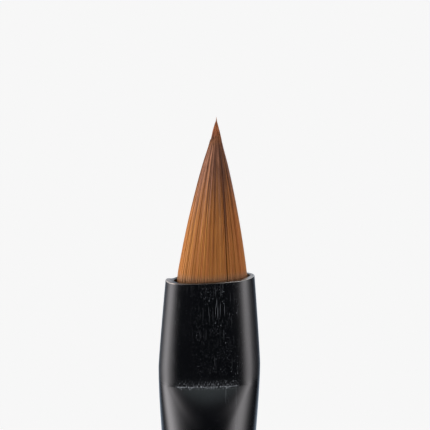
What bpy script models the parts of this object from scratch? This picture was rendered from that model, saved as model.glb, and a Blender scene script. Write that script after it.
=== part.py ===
"""Crimped acrylic nail brush: a tuft of hair in a flattened black ferrule on a turned wooden handle.

Metres, +Z up from the butt of the handle to the tip of the hair. +X is the wide way across the
flattened ferrule, and the two pressed flats face -Y and +Y.
"""

import math

import bmesh
import bpy
from mathutils import Vector

MM = 0.001

# Driving dimensions.
TOTAL_LENGTH = 180.0 * MM
HAIR_OUT = 16.2 * MM
FERRULE_LENGTH = 38.0 * MM
FERRULE_RADIUS = 4.55 * MM
FERRULE_WALL = 0.40 * MM
BOND_GAP = 0.05 * MM
ROOT_TOP_DEPTH = 1.3 * MM

MOUTH_Z = TOTAL_LENGTH - HAIR_OUT
FERRULE_FOOT_Z = MOUTH_Z - FERRULE_LENGTH
BORE_RADIUS = FERRULE_RADIUS - FERRULE_WALL

# The press that flattens the mouth of the ferrule. Depths are measured down from the mouth.
WIDEST_DEPTH = 9.1 * MM
CREASE_DEPTH = 10.7 * MM
ROUND_DEPTH = 18.8 * MM
SIDE_ROUND_DEPTH = 21.6 * MM
MOUTH_HALF_WIDTH = 4.46 * MM
WIDEST_HALF_WIDTH = 5.12 * MM
SWELL_POWER = 1.15
MOUTH_OVAL = 2.90 * MM
CREASE_OVAL = 3.40 * MM
MOUTH_HALF_FLAT = 2.62 * MM
CREASE_HALF_FLAT = 2.60 * MM
MOUTH_SOFTNESS = 1.20 * MM
CREASE_SOFTNESS = 0.90 * MM
FLARE_SOFTNESS = 0.20 * MM
MOUTH_SLANT = 0.058
CREASE_SLANT = 0.038

# The two rolled rings that lock the ferrule on the handle.
RING_DEPTHS = (31.5 * MM, 34.5 * MM)
RING_DENT = 0.25 * MM
RING_HALF_WIDTH = 0.7 * MM

# The tuft, whose outline is half_width * (1 - u) * (1 + swell * u) at the share u of its height.
HAIR_HALF_WIDTH = 3.44 * MM
HAIR_HALF_THICKNESS = 1.80 * MM
HAIR_SWELL = 0.43
HAIR_SIDE_SWELL = 0.62
HAIR_BASE_DEPTH = 0.6 * MM
HAIR_BASE_SHRINK = 0.75
HAIR_OFFSET_AT_MOUTH = 0.24 * MM
HAIR_OFFSET_AT_TIP = 0.45 * MM
SHOULDER_SHARE = 0.85
POCKET_SHARE = 0.55
POINT_HALF_WIDTH = 0.80

# The root of the tuft inside the ferrule.
ROOT_FOOT_DEPTH = 23.8 * MM
ROOT_RADIUS = 3.25 * MM
BOUND_RADIUS = 3.00 * MM
BINDING_DEPTH = 20.6 * MM
THREAD_RADIUS = 0.12 * MM
THREAD_PITCH = 0.30 * MM
THREAD_TURNS = 4
POINTS_PER_TURN = 24

# The resin that locks the root, and the glued tenon of the handle.
RESIN_TOP_DEPTH = 18.9 * MM
RESIN_FOOT_DEPTH = 25.2 * MM
RESIN_POCKET_RADIUS = 3.45 * MM
RESIN_FLOOR = 1.1 * MM
GLUE_WALL = 0.20 * MM
GLUE_TOP_DEPTH = 27.0 * MM
GLUE_FOOT_DEPTH = 37.6 * MM
TENON_TOP_DEPTH = 25.6 * MM
TENON_RADIUS = BORE_RADIUS - GLUE_WALL - 2 * BOND_GAP
TENON_CHAMFER = 0.4 * MM

# The turned handle below the ferrule.
SHOULDER_RADIUS = 4.50 * MM
BELLY_RADIUS = 4.85 * MM
BELLY_Z = 108.0 * MM
TAIL_RADIUS = 2.60 * MM
TAIL_Z = 3.0 * MM
BUTT_FLAT_RADIUS = 1.50 * MM

FERRULE_SIDES = 48
HAIR_SIDES = 32
TURNED_STEPS = 40
MERGE = 1e-6


def smoothstep(value, low, high):
    t = min(max((value - low) / (high - low), 0.0), 1.0)
    return t * t * (3.0 - 2.0 * t)


def soft_min(a, b, softness):
    """The smaller of a and b, with the corner between them rounded over softness."""
    overlap = max(softness - abs(a - b), 0.0)
    return min(a, b) - overlap * overlap / (4.0 * softness)


# ---------------------------------------------------------------- scene helpers


def clear_scene():
    for obj in list(bpy.data.objects):
        bpy.data.objects.remove(obj)


def new_collection(name):
    collection = bpy.data.collections.new(name)
    bpy.context.scene.collection.children.link(collection)
    return collection


def new_material(name, colour, roughness, metallic=0.0):
    material = bpy.data.materials.new(name)
    material.use_nodes = True
    shader = material.node_tree.nodes["Principled BSDF"]
    shader.inputs["Base Color"].default_value = (*colour, 1.0)
    shader.inputs["Roughness"].default_value = roughness
    shader.inputs["Metallic"].default_value = metallic
    return material


def add_object(name, data, collection, material=None, location=(0.0, 0.0, 0.0), parent=None):
    obj = bpy.data.objects.new(name, data)
    collection.objects.link(obj)
    obj.location = location
    obj.parent = parent
    if material:
        data.materials.append(material)
    if isinstance(data, bpy.types.Mesh):
        data.shade_smooth()
        data.set_sharp_from_angle(angle=math.radians(35))
    return obj


def loft_mesh(name, rings, closed=True):
    """Skins rings of points, which run from the lowest to the highest, and caps both ends."""
    bm = bmesh.new()
    skins = [[bm.verts.new(point) for point in ring] for ring in rings]
    count = len(skins[0])
    for lower, upper in zip(skins, skins[1:]):
        for i in range(count):
            j = (i + 1) % count
            bm.faces.new((lower[i], lower[j], upper[j], upper[i]))
    if closed:
        bm.faces.new(list(reversed(skins[0])))
        bm.faces.new(skins[-1])
    mesh = bpy.data.meshes.new(name)
    bm.to_mesh(mesh)
    bm.free()
    return mesh


def turned(name, profile, closed, collection, material, location):
    """A solid of revolution about Z. The (radius, z) profile runs down its outer side."""
    count = len(profile)
    edges = [(i, i + 1) for i in range(count - 1)]
    if closed:
        edges.append((count - 1, 0))
    mesh = bpy.data.meshes.new(name)
    mesh.from_pydata([(radius, 0.0, z) for radius, z in profile], edges, [])
    obj = add_object(name, mesh, collection, material, location)
    screw = obj.modifiers.new("turn", "SCREW")
    screw.axis = "Z"
    screw.angle = math.tau
    screw.steps = TURNED_STEPS
    screw.render_steps = TURNED_STEPS
    screw.use_merge_vertices = True
    screw.merge_threshold = MERGE
    screw.use_smooth_shade = True
    return obj


# ---------------------------------------------------------------- ferrule


def half_width(depth):
    """The ferrule swells from the mouth to its widest, then draws in to the round tube."""
    if depth < WIDEST_DEPTH:
        share = (WIDEST_DEPTH - depth) / WIDEST_DEPTH
        return WIDEST_HALF_WIDTH - (WIDEST_HALF_WIDTH - MOUTH_HALF_WIDTH) * share**SWELL_POWER
    share = smoothstep(depth, WIDEST_DEPTH, SIDE_ROUND_DEPTH)
    return WIDEST_HALF_WIDTH + (FERRULE_RADIUS - WIDEST_HALF_WIDTH) * share


def half_oval(depth):
    """Half the thickness that the tube would have without its pressed flats."""
    if depth < CREASE_DEPTH:
        return MOUTH_OVAL + (CREASE_OVAL - MOUTH_OVAL) * depth / CREASE_DEPTH
    share = min((depth - CREASE_DEPTH) / (ROUND_DEPTH - CREASE_DEPTH), 1.0)
    return CREASE_OVAL + (FERRULE_RADIUS - CREASE_OVAL) * share * (2.0 - share)


def corner_softness(depth):
    """How far the edges of the flats are rounded, which is more at the mouth than at the crease."""
    above = MOUTH_SOFTNESS + (CREASE_SOFTNESS - MOUTH_SOFTNESS) * min(depth / CREASE_DEPTH, 1.0)
    return above + FLARE_SOFTNESS * smoothstep(depth, CREASE_DEPTH, ROUND_DEPTH)


def half_flat(depth):
    """Half the distance between the flats. Below the crease they flare out until they clear the tube."""
    if depth < CREASE_DEPTH:
        return MOUTH_HALF_FLAT + (CREASE_HALF_FLAT - MOUTH_HALF_FLAT) * depth / CREASE_DEPTH
    share = min((depth - CREASE_DEPTH) / (ROUND_DEPTH - CREASE_DEPTH), 1.0)
    clear = FERRULE_RADIUS + CREASE_SOFTNESS + FLARE_SOFTNESS
    return CREASE_HALF_FLAT + (clear - CREASE_HALF_FLAT) * share * (2.0 - share)


def slant(depth):
    """How much a station rises for each unit of X, from the tilted mouth to the level tube."""
    if depth < CREASE_DEPTH:
        return MOUTH_SLANT + (CREASE_SLANT - MOUTH_SLANT) * depth / CREASE_DEPTH
    return CREASE_SLANT * (1.0 - smoothstep(depth, CREASE_DEPTH, ROUND_DEPTH))


def ring_dent(depth):
    """How deep the rolled rings press in at this depth."""
    dent = 0.0
    for centre in RING_DEPTHS:
        share = min(abs(depth - centre) / RING_HALF_WIDTH, 1.0)
        dent += RING_DENT * 0.5 * (1.0 + math.cos(math.pi * share))
    return dent


def ferrule_ring(depth):
    """One station of the ferrule's outer surface: an oval with its front and back pressed flat."""
    wide = half_width(depth) - ring_dent(depth)
    thick = half_oval(depth) - ring_dent(depth)
    round_tube = depth >= ROUND_DEPTH
    ring = []
    for i in range(FERRULE_SIDES):
        angle = math.tau * i / FERRULE_SIDES
        x = wide * math.cos(angle)
        y = thick * math.sin(angle)
        if not round_tube:
            pressed = soft_min(abs(y), half_flat(depth), corner_softness(depth))
            y = math.copysign(pressed, y) if abs(y) > MERGE else y
        ring.append(Vector((x, y, slant(depth) * x - depth)))
    return ring


def ring_stations(centre):
    return [centre + RING_HALF_WIDTH * share for share in (-1.0, -0.5, 0.0, 0.5, 1.0)]


def build_ferrule(collection, material):
    pressed = [share * WIDEST_DEPTH for share in (0.0, 0.25, 0.5, 0.75, 1.0)]
    pressed.append(CREASE_DEPTH - 0.2 * MM)
    flare_length = ROUND_DEPTH - CREASE_DEPTH
    flare = [CREASE_DEPTH + share * flare_length for share in (0.0, 0.08, 0.2, 0.34, 0.5, 0.67, 0.84, 1.0)]
    tube = [station for centre in RING_DEPTHS for station in ring_stations(centre)]
    sides = [0.5 * (ROUND_DEPTH + SIDE_ROUND_DEPTH), SIDE_ROUND_DEPTH]
    depths = [*pressed, *flare, *sides, *tube, FERRULE_LENGTH]
    rings = [ferrule_ring(depth) for depth in reversed(depths)]
    mesh = loft_mesh("ferrule", rings, closed=False)
    ferrule = add_object("ferrule", mesh, collection, material, (0.0, 0.0, MOUTH_Z))
    wall = ferrule.modifiers.new("wall", "SOLIDIFY")
    wall.thickness = FERRULE_WALL
    wall.offset = -1.0
    wall.use_even_offset = True
    lips = ferrule.modifiers.new("lips", "BEVEL")
    lips.limit_method = "ANGLE"
    lips.angle_limit = math.radians(60)
    lips.width = 0.12 * MM
    lips.segments = 2
    return ferrule


# ---------------------------------------------------------------- hair


def tuft_offset(height):
    """The tuft leans a little to +X on its way to the tip."""
    return HAIR_OFFSET_AT_MOUTH + (HAIR_OFFSET_AT_TIP - HAIR_OFFSET_AT_MOUTH) * height / HAIR_OUT


def taper(share, swell):
    return (1.0 - share) * (1.0 + swell * share)


def oval_ring(wide, thick, centre_x, z):
    angles = [math.tau * i / HAIR_SIDES for i in range(HAIR_SIDES)]
    return [Vector((centre_x + wide * math.cos(a), thick * math.sin(a), z)) for a in angles]


def tuft_ring(height, shrink=1.0):
    """One station of the belly. Its foot is drawn in so that it swings clear inside the mouth."""
    share = max(height, 0.0) / HAIR_OUT
    wide = HAIR_HALF_WIDTH * taper(share, HAIR_SWELL) * shrink
    thick = HAIR_HALF_THICKNESS * taper(share, HAIR_SIDE_SWELL) * shrink
    return oval_ring(wide, thick, tuft_offset(height), height)


def point_ring(share, grow):
    """One station of the long hairs: a slim spindle that fills the tuft's outline near the tip."""
    spread = smoothstep(share, POCKET_SHARE, SHOULDER_SHARE)
    outline = taper(max(share, SHOULDER_SHARE), HAIR_SWELL)
    wide = HAIR_HALF_WIDTH * outline * POINT_HALF_WIDTH * (0.55 + 0.45 * spread) + grow
    side_outline = taper(max(share, SHOULDER_SHARE), HAIR_SIDE_SWELL)
    thick = HAIR_HALF_THICKNESS * side_outline * POINT_HALF_WIDTH * (0.55 + 0.45 * spread) + grow
    height = share * HAIR_OUT
    return oval_ring(wide, thick, tuft_offset(height), height)


def build_point_hairs(collection, material, joint):
    shares = (POCKET_SHARE, 0.65, 0.75, SHOULDER_SHARE, 0.90, 0.95, 0.98, 0.998)
    mesh = loft_mesh("point_hairs", [point_ring(share, 0.0) for share in shares])
    return add_object("point_hairs", mesh, collection, material, parent=joint)


def build_belly_hairs(collection, material, joint):
    """The skin runs up the outside, over the shoulder and down the pocket that holds the long hairs."""
    rings = [tuft_ring(-HAIR_BASE_DEPTH, HAIR_BASE_SHRINK), tuft_ring(-0.5 * HAIR_BASE_DEPTH)]
    outside = (0.0, 0.08, 0.18, 0.30, 0.43, 0.57, 0.70, 0.79, SHOULDER_SHARE)
    rings += [tuft_ring(share * HAIR_OUT) for share in outside]
    pocket = (SHOULDER_SHARE, 0.75, 0.65, POCKET_SHARE - 0.01)
    rings += [point_ring(share, BOND_GAP) for share in pocket]
    mesh = loft_mesh("belly_hairs", rings)
    return add_object("belly_hairs", mesh, collection, material, parent=joint)


def root_ring(depth, wide, thick):
    return oval_ring(wide, thick, HAIR_OFFSET_AT_MOUTH * (wide > ROOT_RADIUS), -depth)


def build_hair_root(collection, material):
    """The glued half of the same hairs, pressed oval under the mouth and round at the foot."""
    bound_top = BINDING_DEPTH - THREAD_PITCH
    bound_foot = BINDING_DEPTH + (THREAD_TURNS + 1) * THREAD_PITCH
    step = 0.3 * MM
    stations = (
        (ROOT_TOP_DEPTH, HAIR_HALF_WIDTH, HAIR_HALF_THICKNESS),
        (CREASE_DEPTH * 0.5, HAIR_HALF_WIDTH, HAIR_HALF_THICKNESS),
        (CREASE_DEPTH, HAIR_HALF_WIDTH, HAIR_HALF_THICKNESS + 0.1 * MM),
        (ROUND_DEPTH - 4.4 * MM, ROOT_RADIUS + 0.05 * MM, ROOT_RADIUS * 0.84),
        (ROUND_DEPTH - 1.0 * MM, ROOT_RADIUS, ROOT_RADIUS),
        (bound_top - step, ROOT_RADIUS, ROOT_RADIUS),
        (bound_top, BOUND_RADIUS, BOUND_RADIUS),
        (bound_foot, BOUND_RADIUS, BOUND_RADIUS),
        (bound_foot + step, ROOT_RADIUS, ROOT_RADIUS),
        (ROOT_FOOT_DEPTH, ROOT_RADIUS, ROOT_RADIUS),
    )
    rings = [root_ring(*station) for station in reversed(stations)]
    mesh = loft_mesh("hair_root", rings)
    return add_object("hair_root", mesh, collection, material, (0.0, 0.0, MOUTH_Z))


# ---------------------------------------------------------------- inside the ferrule


def build_binding_thread(collection, material):
    """A wound thread that draws the root together: a helix of THREAD_TURNS turns."""
    radius = (BOUND_RADIUS + THREAD_RADIUS + BOND_GAP) / math.cos(math.pi / POINTS_PER_TURN)
    count = THREAD_TURNS * POINTS_PER_TURN + 1
    curve = bpy.data.curves.new("binding_thread", "CURVE")
    curve.dimensions = "3D"
    curve.bevel_depth = THREAD_RADIUS
    curve.bevel_resolution = 1
    curve.use_fill_caps = True
    spline = curve.splines.new("POLY")
    spline.points.add(count - 1)
    for i, point in enumerate(spline.points):
        angle = math.tau * i / POINTS_PER_TURN
        z = -BINDING_DEPTH - THREAD_PITCH * i / POINTS_PER_TURN
        point.co = (radius * math.cos(angle), radius * math.sin(angle), z, 1.0)
    return add_object("binding_thread", curve, collection, material, (0.0, 0.0, MOUTH_Z))


def build_resin_plug(collection, material):
    """Set resin shaped as a cup: the bound root stands in its pocket."""
    outer = BORE_RADIUS - BOND_GAP
    profile = [
        (0.0, RESIN_FLOOR - RESIN_FOOT_DEPTH),
        (RESIN_POCKET_RADIUS, RESIN_FLOOR - RESIN_FOOT_DEPTH),
        (RESIN_POCKET_RADIUS, -RESIN_TOP_DEPTH),
        (outer, -RESIN_TOP_DEPTH),
        (outer, -RESIN_FOOT_DEPTH),
        (0.0, -RESIN_FOOT_DEPTH),
    ]
    place = (0.0, 0.0, MOUTH_Z)
    return turned("resin_plug", profile, False, collection, material, place)


def seat_depths(top, foot):
    """Stations along the tenon, close together only where the rolled rings press in."""
    rings = [station for centre in RING_DEPTHS for station in ring_stations(centre)]
    return [top, *rings, foot]


def build_handle_glue(collection, material):
    """The sleeve of adhesive between the ferrule and the tenon."""
    outer = BORE_RADIUS - BOND_GAP
    depths = seat_depths(GLUE_TOP_DEPTH, GLUE_FOOT_DEPTH)
    down = [(outer - ring_dent(depth), -depth) for depth in depths]
    up = [(radius - GLUE_WALL, z) for radius, z in reversed(down)]
    return turned("handle_glue", down + up, True, collection, material, (0.0, 0.0, MOUTH_Z))


# ---------------------------------------------------------------- handle


def handle_radius(z):
    """The grip is fullest at the belly, eases in to the ferrule and tapers to the tail."""
    if z > BELLY_Z:
        share = smoothstep(z, BELLY_Z, FERRULE_FOOT_Z)
        return BELLY_RADIUS + (SHOULDER_RADIUS - BELLY_RADIUS) * share
    share = (z - TAIL_Z) / (BELLY_Z - TAIL_Z)
    return TAIL_RADIUS + (BELLY_RADIUS - TAIL_RADIUS) * math.sin(0.5 * math.pi * share) ** 1.15


def build_handle(collection, material):
    top = MOUTH_Z - TENON_TOP_DEPTH
    shoulder = FERRULE_FOOT_Z - BOND_GAP
    profile = [(0.0, top), (TENON_RADIUS - TENON_CHAMFER, top)]
    tenon = seat_depths(TENON_TOP_DEPTH + TENON_CHAMFER, FERRULE_LENGTH)[:-1]
    profile += [(TENON_RADIUS - ring_dent(depth), MOUTH_Z - depth) for depth in tenon]
    profile += [(TENON_RADIUS, shoulder), (SHOULDER_RADIUS - 0.1 * MM, shoulder)]
    grip = (shoulder - 0.1 * MM, 117.0 * MM, BELLY_Z, 92.0 * MM, 75.0 * MM, 58.0 * MM, 40.0 * MM, 22.0 * MM)
    profile += [(handle_radius(z), z) for z in (*grip, 10.0 * MM, TAIL_Z)]
    for i in range(1, 5):
        angle = 0.5 * math.pi * i / 4
        inset = (TAIL_RADIUS - BUTT_FLAT_RADIUS) * (1.0 - math.cos(angle))
        profile.append((TAIL_RADIUS - inset, TAIL_Z * (1.0 - math.sin(angle))))
    profile.append((0.0, 0.0))
    return turned("handle", profile, False, collection, material, (0.0, 0.0, 0.0))


# ---------------------------------------------------------------- the whole brush


def main():
    clear_scene()
    brush = new_collection("acrylic_nail_brush")

    black_lacquer = new_material("black_lacquer", (0.010, 0.010, 0.012), 0.30)
    handle_lacquer = new_material("handle_lacquer", (0.008, 0.008, 0.009), 0.16)
    belly_hair = new_material("belly_hair", (0.36, 0.13, 0.035), 0.45)
    point_hair = new_material("point_hair", (0.15, 0.055, 0.03), 0.45)
    root_hair = new_material("root_hair", (0.42, 0.20, 0.07), 0.55)
    nylon = new_material("nylon_thread", (0.80, 0.77, 0.68), 0.5)
    resin = new_material("resin", (0.55, 0.30, 0.08), 0.2)
    adhesive = new_material("adhesive", (0.70, 0.66, 0.55), 0.5)

    build_ferrule(brush, black_lacquer)
    build_hair_root(brush, root_hair)
    build_binding_thread(brush, nylon)
    build_resin_plug(brush, resin)
    build_handle_glue(brush, adhesive)
    build_handle(brush, handle_lacquer)

    flex = bpy.data.objects.new("tuft_flex", None)
    flex.location = (0.0, 0.0, MOUTH_Z)
    brush.objects.link(flex)
    build_belly_hairs(brush, belly_hair, flex)
    build_point_hairs(brush, point_hair, flex)


main()
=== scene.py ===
"""Looks of the acrylic nail brush: ferrule, tuft of single strands, lacquered handle, studio and camera."""

import math

import bpy
import numpy as np
from mathutils import Matrix, Vector


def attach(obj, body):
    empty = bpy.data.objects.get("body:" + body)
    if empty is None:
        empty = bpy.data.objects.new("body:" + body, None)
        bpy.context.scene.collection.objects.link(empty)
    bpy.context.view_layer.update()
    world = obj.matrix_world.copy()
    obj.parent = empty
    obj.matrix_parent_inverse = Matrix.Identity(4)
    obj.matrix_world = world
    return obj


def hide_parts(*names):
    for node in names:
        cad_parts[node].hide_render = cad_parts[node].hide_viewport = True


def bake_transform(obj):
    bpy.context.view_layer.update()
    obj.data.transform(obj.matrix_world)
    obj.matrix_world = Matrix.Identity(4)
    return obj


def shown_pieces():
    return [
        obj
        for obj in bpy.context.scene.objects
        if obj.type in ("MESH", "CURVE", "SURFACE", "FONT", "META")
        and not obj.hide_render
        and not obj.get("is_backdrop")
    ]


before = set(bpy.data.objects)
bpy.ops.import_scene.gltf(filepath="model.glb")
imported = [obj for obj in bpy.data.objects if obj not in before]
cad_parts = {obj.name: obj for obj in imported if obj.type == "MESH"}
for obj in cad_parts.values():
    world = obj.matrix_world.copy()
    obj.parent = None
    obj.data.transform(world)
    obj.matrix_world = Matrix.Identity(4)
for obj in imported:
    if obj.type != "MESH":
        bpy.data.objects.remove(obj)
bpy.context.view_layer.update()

MM = 0.001

# ------------------------------------------------------------------ sizes, in millimetres

# The whole brush and its ferrule, as in the CAD source.
TOTAL_LENGTH = 180.0
HAIR_OUT = 16.2
FERRULE_LENGTH = 38.0
FERRULE_RADIUS = 4.55
WALL = 0.40
MOUTH_Z = TOTAL_LENGTH - HAIR_OUT
FOOT_Z = MOUTH_Z - FERRULE_LENGTH
WIDEST_DEPTH = 9.1
CREASE_DEPTH = 10.7
ROUND_DEPTH = 18.8
SIDE_ROUND_DEPTH = 21.6
MOUTH_HALF_WIDTH = 4.46
WIDEST_HALF_WIDTH = 5.12
SWELL_POWER = 1.15
MOUTH_OVAL = 2.90
CREASE_OVAL = 3.40
MOUTH_HALF_FLAT = 2.62
CREASE_HALF_FLAT = 2.60
MOUTH_SOFTNESS = 1.20
CREASE_SOFTNESS = 0.90
FLARE_SOFTNESS = 0.20
MOUTH_SLANT = 0.058
CREASE_SLANT = 0.038
RING_DEPTHS = (31.5, 34.5)
RING_DENT = 0.25
RING_HALF_WIDTH = 0.7

# The crease sags a little in the middle of the pressed face.
CREASE_SAG = 0.08
CREASE_SAG_REACH = 3.6
CREASE_SAG_SPREAD = 2.0

# The cut lip: its rounded edges, a worn corner at the front left, a thicker wall at the left end and at the
# front right, and a back rim that is bent down a little, most of it at the left.
LIP_EDGE = 0.09
LIP_INNER = 0.06
WORN_ANGLE = math.pi + 0.42
WORN_SPREAD = 0.22
WORN_DEPTH = 0.03
LEFT_THICKER = 0.55
LEFT_THICKER_SPREAD = 0.42
RIGHT_THICKER = 0.20
RIGHT_THICKER_ANGLE = math.tau - 0.42
RIGHT_THICKER_SPREAD = 0.40
THICKER_DOWN_TO = 6.0
BENT_DOWN = 0.30
BENT_REACH = 1.6
BENT_ANGLE = math.pi - 0.60
BENT_OPPOSITE_ANGLE = 0.60
BENT_SPREAD = 0.30

# The tuft at the mouth, how far its outline swells past a cone's, and how far its axis lies to the right. The
# lengths are a few hundredths off the CAD source's.
HAIR_HALF_WIDTH = 3.49
HAIR_HALF_THICKNESS = 1.84
HAIR_SWELL = 0.375
HAIR_SIDE_SWELL = 0.62
OFFSET_AT_MOUTH = 0.22
OFFSET_AT_TIP = 0.50

# The handle, as in the CAD source.
SHOULDER_RADIUS = 4.50
BELLY_RADIUS = 4.85
BELLY_Z = 108.0
TAIL_RADIUS = 2.60
TAIL_Z = 3.0
BUTT_FLAT_RADIUS = 1.50
TENON_TOP_Z = MOUTH_Z - 25.6
TENON_RADIUS = 3.85

# How the hair is split up.
LOCKS = 16
PER_LOCK = 56
CLUMPS = 62
LAYERS = 3
POINT_STRANDS = 130
LONGEST_STRANDS = 16

# A strand's own shape, and the waist that narrows the whole tuft below its point.
STRAND_STEPS = 24
STEP_POWER = 0.9
STRAND_SIDES = 4
STRAND_TURN = 0.4
ROOT_DEPTH = 1.2
BELLY_RADII = (0.046, 0.068)
POINT_RADII = (0.040, 0.056)
THINNER_AT_TOP = 0.45
BELLY_TAPER = 0.12
POINT_TAPER = 0.04
THINNEST_END = 0.06
DRIFT_WAVES = 5.0
DRIFT_PHASES = 9.0
BELLY_DRIFT = 0.006
POINT_DRIFT = 0.01
POINT_BLUNT = 0.045
WAIST_DEPTH = 0.13
WAIST_BELOW_TIP = 2.4
WAIST_SPREAD = 1.35

# Where the belly hairs stop, as shares of the hair's height, and how they lie in layers and clumps.
BELLY_ENDS_FROM = 0.85
BELLY_ENDS_OVER = 0.09
SHORTER_AT_LEFT = 0.06
SHORT_HAIRS = 0.25
SHORT_BY = 0.06
LAYER_STEP = 0.045
LAYER_JITTER = 0.02
CLUMP_STRAY = 0.22
CLUMP_PULL = 0.45
PULL_POWER = 1.5
CLUMP_TONE_SPREAD = 0.085
CLUMP_RISES = (-0.035, 0.012)
CLUMP_TURN_SPREAD = 0.020
BELLY_TONE_SPREAD = 0.13
POINT_TONE_SPREAD = 0.16
RED_STREAK_ANGLE = math.tau - 0.50
RED_STREAK_SPREAD = 0.17

# The core under the strands.
CORE_ROWS = 60
CORE_SIDES = 72
CORE_TOP = 0.955
CORE_SHARE = 0.915
CORE_RIPPLE = 0.012
CORE_RIPPLES = 23.0

rng = np.random.default_rng(31)


# ------------------------------------------------------------------ small helpers


def smooth(value, low, high):
    t = np.clip((value - low) / (high - low), 0.0, 1.0)
    return t * t * (3.0 - 2.0 * t)


def bell(value, centre, spread):
    return np.exp(-(((value - centre) / spread) ** 2))


def mesh_from(name, points, faces, smooth_shading=True):
    mesh = bpy.data.meshes.new(name)
    mesh.from_pydata([tuple(p) for p in points], [], [tuple(f) for f in faces])
    mesh.validate()
    if smooth_shading:
        mesh.shade_smooth()
    obj = bpy.data.objects.new(name, mesh)
    bpy.context.scene.collection.objects.link(obj)
    return obj


def ring_faces(rows, cols, start=0, wrap_rows=False):
    """Quads over a grid of rows by cols points, closed round the columns."""
    i, j = np.meshgrid(np.arange(rows if wrap_rows else rows - 1), np.arange(cols), indexing="ij")
    nxt = (j + 1) % cols
    up = (i + 1) % rows
    quads = np.stack([i * cols + j, i * cols + nxt, up * cols + nxt, up * cols + j], -1)
    return quads.reshape(-1, 4) + start


def end_caps(rows, cols, start=0):
    """One face over the first ring of a grid of points and one over its last."""
    first = list(range(start, start + cols))
    last = list(range(start + (rows - 1) * cols, start + rows * cols))
    return [first[::-1], last]


def float_attribute(obj, name, values):
    attribute = obj.data.attributes.new(name, "FLOAT", "POINT")
    attribute.data.foreach_set("value", np.asarray(values, np.float32).ravel())


class Nodes:
    """A short way to build a material's node tree."""

    def __init__(self, name):
        self.material = bpy.data.materials.new(name)
        self.material.use_nodes = True
        self.tree = self.material.node_tree
        self.shader = self.tree.nodes["Principled BSDF"]

    def add(self, kind, **settings):
        node = self.tree.nodes.new(kind)
        for key, value in settings.items():
            setattr(node, key, value)
        return node

    def link(self, source, target):
        self.tree.links.new(source, target)

    def feed(self, socket, value):
        if isinstance(value, bpy.types.NodeSocket):
            self.link(value, socket)
        else:
            socket.default_value = value

    def math(self, operation, a, b=0.0, c=0.0, clamp=False):
        node = self.add("ShaderNodeMath", operation=operation, use_clamp=clamp)
        for socket, value in zip(node.inputs, (a, b, c)):
            self.feed(socket, value)
        return node.outputs[0]

    def times(self, value, *others):
        for other in others:
            value = self.math("MULTIPLY", value, other)
        return value

    def plus(self, value, *others):
        for other in others:
            value = self.math("ADD", value, other)
        return value

    def bell(self, value, centre, spread):
        offset = self.math("DIVIDE", self.math("SUBTRACT", value, centre), spread)
        return self.math("EXPONENT", self.times(offset, offset, -1.0))

    def attribute(self, name):
        return self.add("ShaderNodeAttribute", attribute_name=name).outputs["Fac"]

    def position(self, scale=(1000.0, 1000.0, 1000.0)):
        """The piece's own coordinates, in millimetres unless scale says otherwise."""
        coordinates = self.add("ShaderNodeTexCoord")
        mapping = self.add("ShaderNodeMapping")
        mapping.inputs["Scale"].default_value = scale
        self.link(coordinates.outputs["Object"], mapping.inputs["Vector"])
        return mapping.outputs[0]

    def axes(self):
        """The piece's own X, Y and Z in millimetres, each by its name."""
        split = self.add("ShaderNodeSeparateXYZ")
        self.link(self.position(), split.inputs[0])
        return split.outputs

    def noise(self, across, up, detail=2.0, roughness=0.5):
        """Noise with this many grains in a metre across the piece, and this many up it."""
        node = self.add("ShaderNodeTexNoise")
        self.link(self.position((across, across, up)), node.inputs["Vector"])
        node.inputs["Scale"].default_value = 1.0
        node.inputs["Detail"].default_value = detail
        node.inputs["Roughness"].default_value = roughness
        return node.outputs["Fac"]

    def remap(self, value, low, high, new_low=0.0, new_high=1.0, smooth_step=False):
        node = self.add("ShaderNodeMapRange", interpolation_type="SMOOTHSTEP" if smooth_step else "LINEAR")
        node.clamp = True
        self.feed(node.inputs["Value"], value)
        for key, number in (("From Min", low), ("From Max", high), ("To Min", new_low), ("To Max", new_high)):
            self.feed(node.inputs[key], number)
        return node.outputs["Result"]

    def ramp(self, value, stops):
        node = self.add("ShaderNodeValToRGB")
        elements = node.color_ramp.elements
        while len(elements) < len(stops):
            elements.new(0.5)
        for element, (place, colour) in zip(elements, stops):
            element.position = place
            element.color = (*colour, 1.0)
        self.link(value, node.inputs["Fac"])
        return node.outputs["Color"]

    def mix(self, factor, a, b):
        node = self.add("ShaderNodeMix", data_type="RGBA")
        self.feed(node.inputs["Factor"], factor)
        for key, value in (("A", a), ("B", b)):
            socket = next(s for s in node.inputs if s.name == key and s.type == "RGBA")
            self.feed(socket, (*value, 1.0) if isinstance(value, tuple) else value)
        return next(s for s in node.outputs if s.type == "RGBA")

    def bump(self, height, strength, distance):
        node = self.add("ShaderNodeBump")
        node.inputs["Strength"].default_value = strength
        node.inputs["Distance"].default_value = distance
        self.link(height, node.inputs["Height"])
        self.link(node.outputs["Normal"], self.shader.inputs["Normal"])


# ------------------------------------------------------------------ ferrule shape


def half_width(depth):
    share = np.clip((WIDEST_DEPTH - depth) / WIDEST_DEPTH, 0.0, 1.0)
    above = WIDEST_HALF_WIDTH - (WIDEST_HALF_WIDTH - MOUTH_HALF_WIDTH) * share**SWELL_POWER
    back_in = smooth(depth, WIDEST_DEPTH, SIDE_ROUND_DEPTH)
    below = WIDEST_HALF_WIDTH + (FERRULE_RADIUS - WIDEST_HALF_WIDTH) * back_in
    return np.where(depth < WIDEST_DEPTH, above, below)


def flare_share(depth):
    share = np.clip((depth - CREASE_DEPTH) / (ROUND_DEPTH - CREASE_DEPTH), 0.0, 1.0)
    return share * (2.0 - share)


def half_oval(depth):
    above = MOUTH_OVAL + (CREASE_OVAL - MOUTH_OVAL) * depth / CREASE_DEPTH
    below = CREASE_OVAL + (FERRULE_RADIUS - CREASE_OVAL) * flare_share(depth)
    return np.where(depth < CREASE_DEPTH, above, below)


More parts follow.
